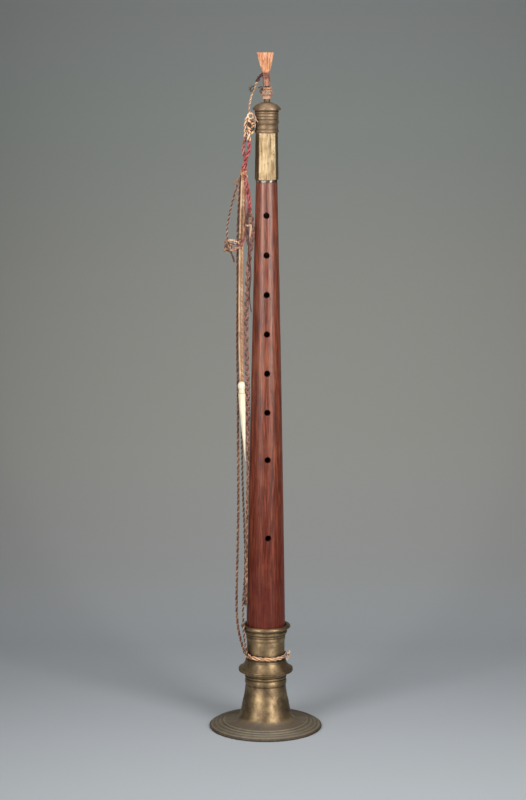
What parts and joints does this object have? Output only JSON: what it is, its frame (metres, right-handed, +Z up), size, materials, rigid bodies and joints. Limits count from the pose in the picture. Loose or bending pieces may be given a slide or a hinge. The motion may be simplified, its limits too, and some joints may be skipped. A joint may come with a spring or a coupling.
{
  "type": "double-reed shawm",
  "caption": "Conical wooden shawm with fan-shaped leaf reed on a wound staple, domed brass cap, octagonal sleeve, flared brass bell, and twisted cords holding a bone pin.",
  "frame": {"origin": "centre of the bell's rim on the surface it stands on", "axes": "+Z up the bore to the reed; the finger holes face -Y; the cords hang on the -X side"},
  "size_m": [0.086, 0.086, 0.5117],
  "materials": {
    "brass_turned": "aged satin, turned",
    "brass_sleeve": "rubbed bright",
    "hardwood": "oiled satin",
    "spacer": "matte",
    "leaf": "dry matte",
    "bone": "polished",
    "cord_tan": "twisted",
    "cord_brown": "twisted",
    "cord_red": "twisted",
    "thread": "wound",
    "thread_dark": "wound"
  },
  "bodies": {
    "bell": {"bell_flare": "brass_turned", "bell_collar": "brass_turned", "neck_wrap": "cord_tan", "wrap_knot": "cord_tan"},
    "pipe": {"pipe_body": "hardwood", "spacer_ring": "spacer", "octagonal_sleeve": "brass_sleeve", "brass_cap": "brass_turned", "leader_cord": "cord_tan", "eye_knot": "cord_tan", "rose_cord": "cord_red", "red_cord": "cord_red", "strand_tie": "cord_tan", "red_end_knot": "cord_red", "pin_cord_left": "cord_tan", "pin_cord_right": "cord_tan", "bell_cord_left": "cord_brown", "bell_cord_right": "cord_tan", "braid_cord": "cord_tan", "braid_tassel": "cord_brown", "loop_cord": "cord_tan", "side_cord": "cord_brown", "side_knot": "cord_brown", "dark_thread": "thread_dark"},
    "pin": {"bone_pin": "bone"},
    "staple": {"staple": "brass_sleeve", "seat_lapping": "thread", "staple_winding": "thread", "winding_ring": "thread"},
    "reed": {"reed_stock": "leaf", "reed_binding": "thread_dark", "reed_leaf_front_outer": "leaf", "reed_leaf_front_inner": "leaf", "reed_leaf_back_inner": "leaf", "reed_leaf_back_outer": "leaf"}
  },
  "joints": [
    {"name": "pipe_lift", "type": "slide", "parent": "bell", "child": "pipe", "axis": [0, 0, 1], "range_m": [0, 0.006]},
    {"name": "staple_slide", "type": "slide", "parent": "pipe", "child": "staple", "axis": [0, 0, 1], "range_m": [0, 0.008]},
    {"name": "reed_slide", "type": "slide", "parent": "staple", "child": "reed", "axis": [0, 0, 1], "range_m": [0, 0.006]},
    {"name": "pin_swing", "type": "hinge", "parent": "pipe", "child": "pin", "pos_m": [-0.01835, -0.0015, 0.2647], "axis": [-1, 0, 0], "range_deg": [0, 60]}
  ]
}
